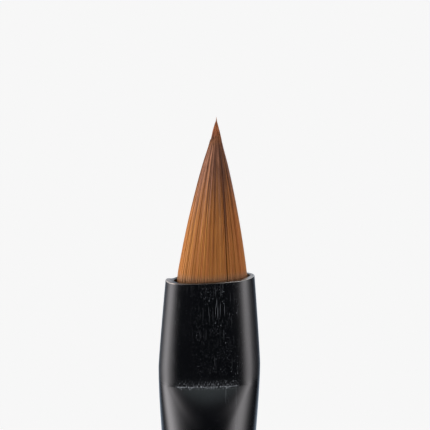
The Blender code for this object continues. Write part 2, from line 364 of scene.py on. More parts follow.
def corner_softness(depth):
    above = MOUTH_SOFTNESS + (CREASE_SOFTNESS - MOUTH_SOFTNESS) * np.clip(depth / CREASE_DEPTH, 0.0, 1.0)
    return above + FLARE_SOFTNESS * smooth(depth, CREASE_DEPTH, ROUND_DEPTH)


def half_flat(depth):
    above = MOUTH_HALF_FLAT + (CREASE_HALF_FLAT - MOUTH_HALF_FLAT) * depth / CREASE_DEPTH
    clear = FERRULE_RADIUS + CREASE_SOFTNESS + FLARE_SOFTNESS
    below = CREASE_HALF_FLAT + (clear - CREASE_HALF_FLAT) * flare_share(depth)
    return np.where(depth < CREASE_DEPTH, above, below)


def slant(depth):
    above = MOUTH_SLANT + (CREASE_SLANT - MOUTH_SLANT) * depth / CREASE_DEPTH
    below = CREASE_SLANT * (1.0 - smooth(depth, CREASE_DEPTH, ROUND_DEPTH))
    return np.where(depth < CREASE_DEPTH, above, below)


def ring_dent(depth):
    dent = np.zeros_like(depth)
    for centre in RING_DEPTHS:
        share = np.clip(np.abs(depth - centre) / RING_HALF_WIDTH, 0.0, 1.0)
        dent = dent + RING_DENT * 0.5 * (1.0 + np.cos(math.pi * share))
    return dent


def soft_min(a, b, softness):
    overlap = np.maximum(softness - np.abs(a - b), 0.0)
    return np.minimum(a, b) - overlap * overlap / (4.0 * softness)


def ferrule_surface(depth, inset, angles):
    """Points of the ferrule at each depth, moved inwards by inset, as an array of rows by columns by 3."""
    wide = half_width(depth) - ring_dent(depth)
    thick = half_oval(depth) - ring_dent(depth)

    def outline(a):
        x = wide * np.cos(a)
        y = thick * np.sin(a)
        flat = soft_min(np.abs(y), half_flat(depth), corner_softness(depth))
        y = np.where((depth < ROUND_DEPTH) & (np.abs(y) > 1e-6), np.sign(y) * flat, y)
        return x, y

    x, y = outline(angles)
    step = 1e-3
    x1, y1 = outline(angles + step)
    x0, y0 = outline(angles - step)
    tx, ty = x1 - x0, y1 - y0
    length = np.hypot(tx, ty)
    x = x - inset * ty / length
    y = y + inset * tx / length
    in_the_middle = np.clip(1.0 - (x / CREASE_SAG_REACH) ** 2, 0.0, 1.0)
    sag = CREASE_SAG * bell(depth, CREASE_DEPTH, CREASE_SAG_SPREAD) * in_the_middle
    z = MOUTH_Z - depth + slant(depth) * x - sag
    return np.stack([x, y, z], -1)


FERRULE_SIDES = 240
FOOT_EDGE = 0.10
FOOT_INNER_EDGE = 0.08
BENT_OPPOSITE_SHARE = 0.25
LACQUERED_EDGE_ROWS = 3
BARE_WHERE_WORN = 0.30


def whole_ring(values):
    """A column of values, the same all round the tube."""
    return np.repeat(np.asarray(values, float)[:, None], FERRULE_SIDES, axis=1)


def build_ferrule():
    """The tube as one closed skin from the foot up the outside, over the lip and down the inside."""
    angles = (np.arange(FERRULE_SIDES) * math.tau / FERRULE_SIDES)[None, :]
    worn = bell(angles, WORN_ANGLE, WORN_SPREAD)
    edge_down = LIP_EDGE + WORN_DEPTH * worn
    edge_in = LIP_EDGE + 0.5 * WORN_DEPTH * worn
    thicker = LEFT_THICKER * bell(angles, math.pi, LEFT_THICKER_SPREAD)
    thicker = thicker + RIGHT_THICKER * bell(angles, RIGHT_THICKER_ANGLE, RIGHT_THICKER_SPREAD)
    wall_at_mouth = WALL + thicker
    bent = bell(angles, BENT_ANGLE, BENT_SPREAD)
    bent = bent + BENT_OPPOSITE_SHARE * bell(angles, BENT_OPPOSITE_ANGLE, BENT_SPREAD)

    # How deep each row lies under the mouth, and how far in from the tube's outside.
    foot = FERRULE_LENGTH - FOOT_EDGE
    outside = np.concatenate([
        np.linspace(foot, ROUND_DEPTH, 96)[:-1],
        np.linspace(ROUND_DEPTH, CREASE_DEPTH + 0.02, 72),
        [CREASE_DEPTH - 0.02, CREASE_DEPTH - 0.06, CREASE_DEPTH - 0.14],
        np.linspace(CREASE_DEPTH - 0.3, 0.42, 72),
    ])
    inside = np.concatenate([np.linspace(0.3, 9.6, 20), np.linspace(10.9, foot, 30)])
    outer_turn = np.linspace(0.0, 0.5 * math.pi, 8)[:, None]
    inner_turn = np.linspace(0.0, 0.5 * math.pi, 5)[:, None]
    over_lip = np.linspace(0.0, 1.0, 4)[1:-1, None]
    depths = np.concatenate([
        whole_ring([FERRULE_LENGTH]),
        whole_ring(outside),
        edge_down * (1.0 - np.sin(outer_turn)),
        whole_ring(np.zeros(len(over_lip))),
        whole_ring(LIP_INNER * (1.0 - np.cos(inner_turn[:, 0]))),
        whole_ring(inside),
        whole_ring([FERRULE_LENGTH]),
    ])
    insets = np.concatenate([
        whole_ring([FOOT_EDGE]),
        whole_ring(np.zeros(len(outside))),
        edge_in * (1.0 - np.cos(outer_turn)),
        edge_in + (wall_at_mouth - LIP_INNER - edge_in) * over_lip,
        wall_at_mouth - LIP_INNER * (1.0 - np.sin(inner_turn)),
        WALL + thicker * (1.0 - smooth(inside, 0.5, THICKER_DOWN_TO))[:, None],
        whole_ring([WALL - FOOT_INNER_EDGE]),
    ])
    rows = len(depths)
    points = ferrule_surface(depths, insets, angles)
    points[..., 2] -= BENT_DOWN * bent * bell(depths, 0.0, BENT_REACH)
    faces = ring_faces(rows, FERRULE_SIDES, wrap_rows=True)
    ferrule = mesh_from("ferrule_shell", points.reshape(-1, 3) * MM, faces)

    # The lacquer ends on the lip's outer edge, and is rubbed off all of that edge at the worn corner.
    row_of_face = np.repeat(np.arange(rows), FERRULE_SIDES)
    worn_face = np.tile(worn[0] > BARE_WHERE_WORN, rows)
    first_lip_row = len(outside) + 1
    bare_from = np.where(worn_face, first_lip_row, first_lip_row + LACQUERED_EDGE_ROWS)
    lacquered = (row_of_face < bare_from) | (row_of_face == rows - 1)
    ferrule.data.materials.append(lacquer_material())
    ferrule.data.materials.append(bare_metal_material())
    ferrule.data.polygons.foreach_set("material_index", np.where(lacquered, 0, 1).astype(np.int32))
    return ferrule


# ------------------------------------------------------------------ ferrule looks

BLACK_LACQUER = (0.0012, 0.0013, 0.0018)
RUBBED_LACQUER = (0.50, 0.53, 0.58)
# A flat dark brown for the inside of the bore: painted shade of the hole.
PAINTED_BORE_SHADE = (0.17, 0.11, 0.07)
# Each long scratch over the flare: its X, its top and bottom from the crease, and its strength.
LONG_SCRATCHES = ((2.72, -0.2, -5.5, 0.050), (1.68, -0.1, -0.75, 0.10))
LONG_SCRATCH_WIDTH = 0.035


def flecks(n, place, per_mm_round, per_mm_up, chosen, smallest, largest, soft):
    """Spots in cells laid round the tube, so many to a millimetre each way.

    A share of the cells is chosen. Their spots run from smallest to largest, counted in cells, and each has a
    soft edge and its own strength.
    """
    around = n.times(n.math("ARCTAN2", place["Y"], place["X"]), FERRULE_RADIUS, per_mm_round)
    spot = n.add("ShaderNodeCombineXYZ")
    n.link(around, spot.inputs["X"])
    n.link(n.times(place["Z"], per_mm_up), spot.inputs["Y"])
    cells = n.add("ShaderNodeTexVoronoi", voronoi_dimensions="2D")
    n.link(spot.outputs[0], cells.inputs["Vector"])
    cells.inputs["Scale"].default_value = 1.0
    pick = n.add("ShaderNodeSeparateColor")
    n.link(cells.outputs["Color"], pick.inputs[0])
    size = n.remap(pick.outputs["Red"], 1.0 - chosen, 1.0, smallest, largest)
    size = n.times(size, n.math("GREATER_THAN", pick.outputs["Red"], 1.0 - chosen))
    inside = n.remap(n.math("SUBTRACT", size, cells.outputs["Distance"]), 0.0, soft)
    strength = n.times(pick.outputs["Green"], pick.outputs["Green"])
    return n.times(inside, n.math("MULTIPLY_ADD", strength, 0.85, 0.15))


def patchiness(n):
    return n.remap(n.noise(900.0, 420.0), 0.40, 0.64, 0.12, 1.0)


def handling_marks(n, place):
    """Fine upright scratches and specks, most of them right of the middle of the pressed face."""
    pressed = n.remap(place["Z"], MOUTH_Z - 11.0, MOUTH_Z - 9.0)
    handled = n.math("MULTIPLY_ADD", n.times(n.bell(place["X"], 0.9, 2.1), pressed), 0.90, 0.10)
    top_third = n.remap(place["Z"], MOUTH_Z - 6.5, MOUTH_Z - 2.0, 0.25, 1.0)
    patches = patchiness(n)
    hairlines = n.times(flecks(n, place, 9.0, 0.34, 0.50, 0.08, 0.30, 0.16), top_third, 0.26)
    nicks = n.times(flecks(n, place, 9.0, 1.30, 0.18, 0.08, 0.24, 0.12), patches, 0.26)
    specks = n.times(flecks(n, place, 4.4, 4.0, 0.34, 0.07, 0.20, 0.08), patches, 0.60)
    fine = n.times(flecks(n, place, 8.5, 8.0, 0.26, 0.12, 0.32, 0.12), patches, 0.20)
    return n.times(n.plus(hairlines, nicks, specks, fine), handled)


def height_over_crease(n, place):
    """Height over the sagging crease, in millimetres."""
    level = n.math("MULTIPLY_ADD", place["X"], CREASE_SLANT, MOUTH_Z - CREASE_DEPTH)
    outward = n.times(place["X"], place["X"])
    sag = n.math("MULTIPLY_ADD", outward, CREASE_SAG / CREASE_SAG_REACH**2, -CREASE_SAG)
    return n.math("SUBTRACT", place["Z"], n.plus(level, sag))


def crease_marks(n, place, over):
    """The lacquer is rubbed through in a thin broken line, with short ticks and a faint haze above it."""
    reach = n.remap(n.math("ABSOLUTE", n.plus(place["X"], 0.15)), 2.8, 3.3, 1.0, 0.0)
    broken = n.remap(n.noise(2600.0, 2600.0, 3.0, 0.75), 0.40, 0.62, 0.10, 1.0)
    line = n.times(n.bell(over, 0.04, 0.055), broken, 0.25)
    above = n.times(n.remap(over, -0.25, -0.02), n.remap(over, 0.02, 0.75, 1.0, 0.0))
    thin_ticks = flecks(n, place, 9.0, 3.2, 0.60, 0.18, 0.50, 0.22)
    broad_ticks = flecks(n, place, 5.5, 5.0, 0.55, 0.14, 0.40, 0.16)
    ticks = n.times(n.math("MULTIPLY_ADD", broad_ticks, 0.8, thin_ticks), above, 0.52)
    haze = n.times(n.remap(over, -0.05, 0.10), n.remap(over, 0.15, 1.1, 0.010, 0.0))
    return n.times(n.plus(line, ticks, haze), reach)


def flare_scratches(n, place, over):
    """Upright scratches that run down over the flare on the right, two of them long."""
    right_side = n.remap(n.math("ABSOLUTE", n.math("SUBTRACT", place["X"], 2.3)), 0.3, 1.0, 1.0, 0.0)
    below = n.remap(over, -0.5, 0.0, 1.0, 0.0)
    marks = n.times(flecks(n, place, 9.0, 0.30, 0.50, 0.10, 0.42, 0.22), below, right_side, 0.05)
    front = n.math("LESS_THAN", place["Y"], 0.0)
    uneven = n.remap(patchiness(n), 0.3, 0.8, 0.3, 1.0)
    for x, top, bottom, strength in LONG_SCRATCHES:
        span = n.times(n.remap(over, top, top - 0.15), n.remap(over, bottom - 0.8, bottom))
        scratch = n.times(n.bell(place["X"], x, LONG_SCRATCH_WIDTH), span, front, uneven, strength)
        marks = n.plus(marks, scratch)
    return marks


def lacquer_material():
    n = Nodes("ferrule_lacquer")
    place = n.axes()
    over = height_over_crease(n, place)
    worn = n.plus(handling_marks(n, place), crease_marks(n, place, over))
    marks = n.math("ADD", worn, flare_scratches(n, place, over), clamp=True)
    n.link(n.mix(marks, BLACK_LACQUER, RUBBED_LACQUER), n.shader.inputs["Base Color"])

    # The corners of the pressed length are a little duller than the rest.
    roughness = n.remap(n.noise(700.0, 350.0, 3.0), 0.3, 0.7, 0.16, 0.20)
    rubbed = n.remap(over, -0.5, 0.8, 0.0, 0.17, smooth_step=True)
    corners = n.remap(n.math("ABSOLUTE", place["X"]), 2.9, 4.0, 0.0, 1.0, smooth_step=True)
    roughness = n.math("MULTIPLY_ADD", rubbed, corners, roughness)
    roughness = n.math("MULTIPLY_ADD", marks, 0.6, roughness, clamp=True)
    n.link(roughness, n.shader.inputs["Roughness"])
    n.shader.inputs["IOR"].default_value = 1.5
    orange_peel = n.noise(2200.0, 1540.0)
    height = n.math("SUBTRACT", n.times(orange_peel, 0.4), n.times(marks, 0.1))
    n.bump(height, 0.06, 0.00004)
    return n.material


def bare_metal_material():
    """Dried product dulls the middle of the lip. Both ends are pale and less metallic: painted highlights.
    Deeper in, the bore turns a flat dark brown: painted shade of the hole.
    """
    n = Nodes("ferrule_bare_metal")
    place = n.axes()
    brushed = n.noise(4000.0, 9000.0, 3.0, 0.6)
    blotches = n.noise(1300.0, 1300.0, 3.0, 0.6)
    along = n.remap(place["X"], -4.5, 4.5)
    # The pale stops at both ends of this ramp are painted highlights on the lip's corners.
    metal = n.ramp(along, [
        (0.0, (0.48, 0.44, 0.42)), (0.050, (0.36, 0.325, 0.305)), (0.125, (0.120, 0.096, 0.078)),
        (0.56, (0.060, 0.046, 0.036)), (0.67, (0.24, 0.22, 0.20)), (0.85, (0.26, 0.25, 0.24)),
        (0.91, (0.48, 0.46, 0.44)), (1.0, (0.66, 0.63, 0.60)),
    ])
    metal = n.mix(n.remap(brushed, 0.3, 0.7, 0.0, 0.35), metal, (0.0, 0.0, 0.0))
    # Deeper in, the bore is mixed towards a flat dark brown and made less metallic: painted shade.
    deep = n.remap(place["Z"], MOUTH_Z - 1.2, MOUTH_Z - 0.5, 0.85, 0.0)
    n.link(n.mix(deep, metal, PAINTED_BORE_SHADE), n.shader.inputs["Base Color"])
    from_dull = n.math("ABSOLUTE", n.math("SUBTRACT", along, 0.47))
    # Less metallic at both ends, so their pale colour shows as a painted highlight.
    metallic_off_painted_highlights = n.remap(from_dull, 0.38, 0.44, 1.0, 0.30)
    metallic_off_bore_shade = n.math("SUBTRACT", 1.0, n.times(deep, 0.9))
    n.link(n.times(metallic_off_painted_highlights, metallic_off_bore_shade), n.shader.inputs["Metallic"])
    n.link(n.remap(blotches, 0.3, 0.7, 0.30, 0.46), n.shader.inputs["Roughness"])
    n.bump(brushed, 0.3, 0.00002)
    return n.material


ferrule = build_ferrule()
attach(ferrule, "brush")
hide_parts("ferrule")


# ------------------------------------------------------------------ handle


def handle_radius(z):
    above = BELLY_RADIUS + (SHOULDER_RADIUS - BELLY_RADIUS) * smooth(z, BELLY_Z, FOOT_Z)
    share = np.clip((z - TAIL_Z) / (BELLY_Z - TAIL_Z), 0.0, 1.0)
    below = TAIL_RADIUS + (BELLY_RADIUS - TAIL_RADIUS) * np.sin(0.5 * math.pi * share) ** 1.15
    return np.where(z > BELLY_Z, above, below)


def handle_material():
    n = Nodes("handle_lacquer")
    grain = n.noise(3200.0, 110.0, 4.0, 0.6)
    wipe = n.noise(400.0, 160.0, 3.0)
    scuff = n.remap(n.noise(2600.0, 500.0, 3.0, 0.7), 0.66, 0.74)
    colour = n.mix(n.remap(grain, 0.35, 0.75), (0.0055, 0.0055, 0.0065), (0.011, 0.010, 0.010))
    colour = n.mix(n.times(scuff, 0.06), colour, (0.35, 0.35, 0.36))
    n.link(colour, n.shader.inputs["Base Color"])
    roughness = n.remap(wipe, 0.3, 0.7, 0.13, 0.22)
    roughness = n.math("MULTIPLY_ADD", scuff, 0.2, roughness, clamp=True)
    n.link(roughness, n.shader.inputs["Roughness"])
    n.shader.inputs["Coat Weight"].default_value = 0.6
    n.shader.inputs["Coat Roughness"].default_value = 0.08
    n.bump(grain, 0.18, 0.00005)
    return n.material


HANDLE_SIDES = 96
GRIP_EDGE_DROPS = (0.05, 0.08, 0.16, 0.30)
GRIP_EDGE_INSETS = (0.22, 0.10, 0.03, 0.0)
PIP_RADIUS = 0.8


def build_handle():
    """One turned piece: its profile from the tenon's end down to the butt, swept round."""
    tenon_z = np.array([TENON_TOP_Z, TENON_TOP_Z - 0.15, TENON_TOP_Z - 0.5, FOOT_Z + 2.0, FOOT_Z - 0.05])
    tenon_r = TENON_RADIUS - np.array([0.35, 0.10, 0.0, 0.0, 0.0])
    grip_z = np.concatenate([FOOT_Z - np.array(GRIP_EDGE_DROPS), np.linspace(FOOT_Z - 1.0, TAIL_Z, 150)])
    grip_r = handle_radius(grip_z)
    grip_r[:len(GRIP_EDGE_INSETS)] -= GRIP_EDGE_INSETS
    tail_turn = np.linspace(0.0, 0.5 * math.pi, 14)[1:]
    tail_r = TAIL_RADIUS - (TAIL_RADIUS - BUTT_FLAT_RADIUS) * (1.0 - np.cos(tail_turn))
    tail_z = TAIL_Z * (1.0 - np.sin(tail_turn))
    radii = np.concatenate([tenon_r, grip_r, tail_r, [PIP_RADIUS]])
    heights = np.concatenate([tenon_z, grip_z, tail_z, [0.0]])
    turn = np.arange(HANDLE_SIDES) * math.tau / HANDLE_SIDES
    points = np.stack([
        radii[:, None] * np.cos(turn),
        radii[:, None] * np.sin(turn),
        np.broadcast_to(heights[:, None], (len(heights), HANDLE_SIDES)),
    ], -1)
    faces = ring_faces(len(radii), HANDLE_SIDES).tolist() + end_caps(len(radii), HANDLE_SIDES)
    handle = mesh_from("handle_body", points.reshape(-1, 3) * MM, [face[::-1] for face in faces])
    handle.data.materials.append(handle_material())
    return handle


handle = build_handle()
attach(handle, "brush")
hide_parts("handle")


# ------------------------------------------------------------------ hair


def tuft_width(u):
    return HAIR_HALF_WIDTH * (1.0 - u) * (1.0 + HAIR_SWELL * u)


def tuft_thickness(u):
    return HAIR_HALF_THICKNESS * (1.0 - u) * (1.0 + HAIR_SIDE_SWELL * u)


def tuft_offset(u):
    return OFFSET_AT_MOUTH + (OFFSET_AT_TIP - OFFSET_AT_MOUTH) * u


def waist(u):
    """How much narrower the point is than the belly hairs would make it, just above where they end."""
    return 1.0 - WAIST_DEPTH * bell((1.0 - u) * HAIR_OUT, WAIST_BELOW_TIP, WAIST_SPREAD)


def strands(angle, reach, rise, end, thick, wander, pinch, taper, narrow=False):
    """Centre lines and radii of strands that run from inside the mouth to their own ends.

    Each strand starts at reach, a share of the way out to the tuft's skin, and gains rise on the way up. It
    stops at end, a share of the height, and thins over the last taper of its length.
    """
    t = np.linspace(0.0, 1.0, STRAND_STEPS)[None, :] ** STEP_POWER
    root = -ROOT_DEPTH / HAIR_OUT
    u = root + (end[:, None] - root) * t
    up = np.clip(u, 0.0, 1.0)
    drift = wander[:, None] * np.sin(u * DRIFT_WAVES + angle[:, None] * DRIFT_PHASES)
    a = angle[:, None] + drift + pinch[:, None] * up**PULL_POWER
    out = (reach[:, None] + rise[:, None] * up) * waist(up) ** (1.0 if narrow else 0.5)
    blunt = POINT_BLUNT * smooth(up, 0.80, 0.96)
    x = tuft_offset(up) + out * (tuft_width(up) + blunt) * np.cos(a)
    y = out * (tuft_thickness(up) + blunt) * np.sin(a)
    z = MOUTH_Z + u * HAIR_OUT
    thinned = np.sqrt(np.clip((1.0 - t) / taper, THINNEST_END, 1.0))
    radius = thick[:, None] * (1.0 - THINNER_AT_TOP * up) * thinned
    return np.stack([x, y, z], -1), radius, np.broadcast_to(t, radius.shape)


def strand_mesh(name, lines, radius, along, looks):
    """Closed tubes of a few sides along the lines, each with the random looks of its strand stored on it."""
    a = np.arange(STRAND_SIDES) * math.tau / STRAND_SIDES + STRAND_TURN
    ring = np.stack([np.cos(a), np.sin(a), np.zeros(STRAND_SIDES)], -1)
    points = lines[:, :, None, :] + radius[:, :, None, None] * ring[None, None]
    faces = []
    for strand in range(len(lines)):
        start = strand * STRAND_STEPS * STRAND_SIDES
        faces += ring_faces(STRAND_STEPS, STRAND_SIDES, start).tolist()
        faces += end_caps(STRAND_STEPS, STRAND_SIDES, start)
    obj = mesh_from(name, points.reshape(-1, 3) * MM, faces)
    shape = (len(lines), STRAND_STEPS, STRAND_SIDES)
    float_attribute(obj, "strand_along", np.broadcast_to(along[:, :, None], shape))
    for key, values in looks.items():
        float_attribute(obj, key, np.broadcast_to(values[:, None, None], shape))
    return obj


def hair_colour(n, place, height, streak):
    """Copper at the mouth, darker and redder above a ragged line, with red points and paler hair ends."""
    jitter = n.attribute("strand_jitter")
    tone = n.math("MULTIPLY_ADD", n.math("SUBTRACT", streak, 0.5), 0.45, n.attribute("strand_tone"))
    spread = n.remap(height, 1.5, 7.0, 0.52, 1.60)
    tone = n.math("MULTIPLY_ADD", n.math("SUBTRACT", tone, 0.5), spread, 0.5, clamp=True)
    copper = n.ramp(tone, [
        (0.0, (0.150, 0.046, 0.0100)), (0.5, (0.275, 0.103, 0.0205)), (1.0, (0.42, 0.180, 0.044)),
    ])
    copper = n.mix(n.times(n.attribute("strand_hue"), 0.6), copper, (0.29, 0.084, 0.024))
    dark_red = n.ramp(tone, [
        (0.0, (0.026, 0.0095, 0.0060)), (0.5, (0.118, 0.046, 0.024)), (1.0, (0.30, 0.135, 0.080)),
    ])
    ragged = n.math("MULTIPLY_ADD", place["X"], -0.32, n.times(jitter, 4.2))
    fade = n.remap(n.plus(height, ragged), 4.6, 11.4, 0.0, 1.0, smooth_step=True)
    colour = n.mix(fade, copper, dark_red)
    tip = n.remap(height, HAIR_OUT - 2.6, HAIR_OUT - 0.4, 0.0, 1.0, smooth_step=True)
    colour = n.mix(n.times(tip, 0.7), colour, (0.34, 0.095, 0.030))
    ends = n.remap(n.attribute("strand_along"), 0.94, 1.0, 0.0, 0.4)
    colour = n.mix(ends, colour, (0.30, 0.12, 0.045))
    # Near the lip the hair is mixed towards a greyer brown: partly product residue, partly painted shade from
    # the lip.
    above_lip = n.math("SUBTRACT", height, n.times(place["X"], MOUTH_SLANT))
    colour = n.mix(n.remap(above_lip, 0.1, 0.8, 0.55, 0.0), colour, (0.185, 0.118, 0.078))
    # Below the mouth, inside the ferrule, the hair is darkened towards near black: painted shade.
    inside = n.remap(height, -0.9, 0.4, 0.40, 1.0)
    return n.mix(inside, n.mix(0.7, colour, (0.02, 0.007, 0.002)), colour)


def hair_material():
    n = Nodes("hair_strands")
    place = n.axes()
    height = n.math("SUBTRACT", place["Z"], MOUTH_Z)
    streak = n.noise(5000.0, 260.0)
    n.link(hair_colour(n, place, height, streak), n.shader.inputs["Base Color"])
    n.link(n.remap(streak, 0.2, 0.8, 0.36, 0.54), n.shader.inputs["Roughness"])
    n.shader.inputs["IOR"].default_value = 1.50
    n.shader.inputs["Specular IOR Level"].default_value = 0.22
    n.bump(streak, 0.3, 0.00003)
    return n.material


hair_look = hair_material()


def hair_piece(obj, node):
    obj.data.materials.append(hair_look)
    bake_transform(obj)
    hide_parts(node)


def painted_light_left(angle):
    """Painted light and shade: the hair's tone is raised on its left third, where the stronger light falls,
    and lowered just right of the middle.
    """
    x = np.cos(angle)
    return 0.10 * bell(x, -0.55, 0.36) - 0.05 * bell(x, 0.35, 0.40)


clump_tone = rng.normal(0.0, CLUMP_TONE_SPREAD, CLUMPS)
clump_rise = rng.uniform(*CLUMP_RISES, CLUMPS)
clump_turn = rng.normal(0.0, CLUMP_TURN_SPREAD, CLUMPS)


def build_lock(k):
    """One of the even sectors that the belly hairs are split into, in clumps that draw together upwards."""
    share = (k + rng.random(PER_LOCK)) / LOCKS
    angle = share * math.tau
    clump = (share * CLUMPS + rng.normal(0.0, CLUMP_STRAY, PER_LOCK)).astype(int) % CLUMPS
    layer = rng.integers(0, LAYERS, PER_LOCK)
    inward = LAYER_STEP * layer + LAYER_JITTER * rng.random(PER_LOCK)
    left = 0.5 - 0.5 * np.cos(angle)
    end = BELLY_ENDS_FROM + rng.random(PER_LOCK) * (BELLY_ENDS_OVER - SHORTER_AT_LEFT * left)
    end = np.where(rng.random(PER_LOCK) < SHORT_HAIRS, end - SHORT_BY * rng.random(PER_LOCK), end)
    thick = rng.uniform(*BELLY_RADII, PER_LOCK)
    centre = (clump + 0.5) / CLUMPS * math.tau
    to_centre = (centre - angle + math.pi) % math.tau - math.pi
    pinch = CLUMP_PULL * to_centre + clump_turn[clump]
    wander = rng.normal(0.0, BELLY_DRIFT, PER_LOCK)
    reach = 1.0 - 0.4 * inward
    rise = clump_rise[clump] - 0.6 * inward
    lines, radius, along = strands(angle, reach, rise, end, thick, wander, pinch, BELLY_TAPER)

    # Each strand's tone takes the painted light on the left and the painted shade right of the middle.
    tone = 0.5 + clump_tone[clump] + painted_light_left(angle)
    # Strands in deeper layers are painted darker: painted shade under the outer strands.
    tone = tone + rng.normal(0.0, BELLY_TONE_SPREAD, PER_LOCK) - 0.08 * layer
    jitter = rng.normal(0.0, 0.38, PER_LOCK) + 0.5 * clump_tone[clump]
    hue = rng.random(PER_LOCK) ** 3
    hue = hue + 1.3 * bell(angle, RED_STREAK_ANGLE, RED_STREAK_SPREAD) * rng.random(PER_LOCK)
    looks = {
        "strand_tone": np.clip(tone, 0, 1),
        "strand_jitter": jitter,
        "strand_hue": np.clip(hue, 0, 1),
    }
    return strand_mesh(f"hair_lock_{k + 1:02d}", lines, radius, along, looks)


def build_point():
    """The hairs that go on up to the point, the longest of them past the rest."""
    angle = rng.random(POINT_STRANDS) * math.tau
    reach = 0.10 + 0.86 * np.sqrt(rng.random(POINT_STRANDS))
    end = 0.970 + 0.030 * (1.0 - 0.5 * reach) * rng.random(POINT_STRANDS)
    end[:LONGEST_STRANDS] = np.linspace(0.996, 1.018, LONGEST_STRANDS)
    reach[:LONGEST_STRANDS] *= 0.7
    thick = rng.uniform(*POINT_RADII, POINT_STRANDS)
    wander = rng.normal(0.0, POINT_DRIFT, POINT_STRANDS)
    none = np.zeros(POINT_STRANDS)
    lines, radius, along = strands(angle, reach, none, end, thick, wander, none, POINT_TAPER, narrow=True)
    looks = {
        "strand_tone": np.clip(0.48 + rng.normal(0.0, POINT_TONE_SPREAD, POINT_STRANDS), 0, 1),
        "strand_jitter": rng.normal(0.0, 0.4, POINT_STRANDS),
        "strand_hue": rng.random(POINT_STRANDS) ** 3,
    }
    return strand_mesh("hair_point", lines, radius, along, looks)


def build_core():
    """A packed core that keeps daylight from showing between the strands."""
    u = np.linspace(-ROOT_DEPTH / HAIR_OUT, CORE_TOP, CORE_ROWS)
    up = np.clip(u, 0.0, 1.0)[:, None]
    turn = (np.arange(CORE_SIDES) * math.tau / CORE_SIDES)[None, :]
    ripple = (CORE_SHARE + CORE_RIPPLE * np.sin(turn * CORE_RIPPLES)) * waist(up)
    points = np.stack([
        tuft_offset(up) + ripple * tuft_width(up) * np.cos(turn),
        ripple * tuft_thickness(up) * np.sin(turn),
        np.broadcast_to(MOUTH_Z + u[:, None] * HAIR_OUT, (CORE_ROWS, CORE_SIDES)),
    ], -1)
    faces = ring_faces(CORE_ROWS, CORE_SIDES).tolist() + end_caps(CORE_ROWS, CORE_SIDES)
    core = mesh_from("hair_core", points.reshape(-1, 3) * MM, faces)
    looks = {"strand_tone": 0.38, "strand_jitter": 0.0, "strand_hue": 0.0, "strand_along": 0.5}
    for key, value in looks.items():
        float_attribute(core, key, np.full(CORE_ROWS * CORE_SIDES, value))
    return core


for k in range(LOCKS):
    hair_piece(build_lock(k), "belly_hairs")
hair_piece(build_point(), "point_hairs")
hair_piece(build_core(), "belly_hairs")


# ------------------------------------------------------------------ hidden pieces inside the ferrule


def fibre_material(name, dark, light, across, up, roughness, bump):
    n = Nodes(name)
    grain = n.noise(across, up, 3.0, 0.6)
    n.link(n.mix(n.remap(grain, 0.3, 0.7), dark, light), n.shader.inputs["Base Color"])
    n.link(n.remap(grain, 0.3, 0.7, roughness - 0.08, roughness + 0.08), n.shader.inputs["Roughness"])
    n.bump(grain, bump, 0.00005)
    return n.material


# For each node: its material's name, darkest and lightest colour, grains in a metre across and up, roughness
# and bump strength.
HIDDEN_LOOKS = (
    ("hair_root", "root_fibres", (0.05, 0.018, 0.006), (0.24, 0.09, 0.03), 7000.0, 200.0, 0.5, 0.5),
    ("binding_thread", "thread_fibres", (0.55, 0.51, 0.42), (0.82, 0.79, 0.70), 6000.0, 6000.0, 0.6, 0.4),
    ("resin_plug", "set_resin", (0.40, 0.20, 0.05), (0.60, 0.34, 0.10), 900.0, 900.0, 0.18, 0.1),
    ("handle_glue", "set_glue", (0.60, 0.56, 0.44), (0.74, 0.70, 0.60), 1200.0, 1200.0, 0.5, 0.2),
)
for node, *look in HIDDEN_LOOKS:
    material = fibre_material(*look)
    for material_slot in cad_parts[node].material_slots:
        material_slot.link = "OBJECT"
        material_slot.material = material


# ------------------------------------------------------------------ floor, world, lights and camera

# The floor's corners, the lights and the camera's distance are in metres.
FLOOR_CORNERS = [(-9.0, -9.0, 0.0), (9.0, -9.0, 0.0), (9.0, 9.0, 0.0), (-9.0, 9.0, 0.0)]
FLOOR_GREY = (0.60, 0.60, 0.60, 1.0)
FLOOR_GLOW = 0.485
SUN_POWER = 1.69
SUN_ANGLE = math.radians(24.0)
SUN_TILTS = (math.radians(-38.0), math.radians(-22.0), 0.0)
SOFTBOX_AIM = Vector((0.0, 0.0, 0.150))
SOFTBOX_ELEVATION = math.radians(12.0)
SOFTBOX_DISTANCE = 0.45
SOFTBOX_HEIGHT = 0.60
FIELD = 43.0 * MM
DISTANCE = 0.420
ELEVATION = math.radians(14.0)
ROLL = math.radians(0.47)
SENSOR_WIDTH = 36.0
LOOK_AT = Vector((0.445 * MM, 0.0, (MOUTH_Z + 6.44) * MM))


def plain_floor():
    floor = mesh_from("floor", FLOOR_CORNERS, [(0, 1, 2, 3)], smooth_shading=False)
    n = Nodes("floor_paper")
    n.shader.inputs["Base Color"].default_value = FLOOR_GREY
    n.shader.inputs["Roughness"].default_value = 1.0
    n.shader.inputs["Specular IOR Level"].default_value = 0.0
    n.shader.inputs["Emission Color"].default_value = (1.0, 1.0, 1.0, 1.0)
    n.shader.inputs["Emission Strength"].default_value = FLOOR_GLOW
    floor.data.materials.append(n.material)
    floor.visible_glossy = False
    floor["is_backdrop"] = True
    return floor


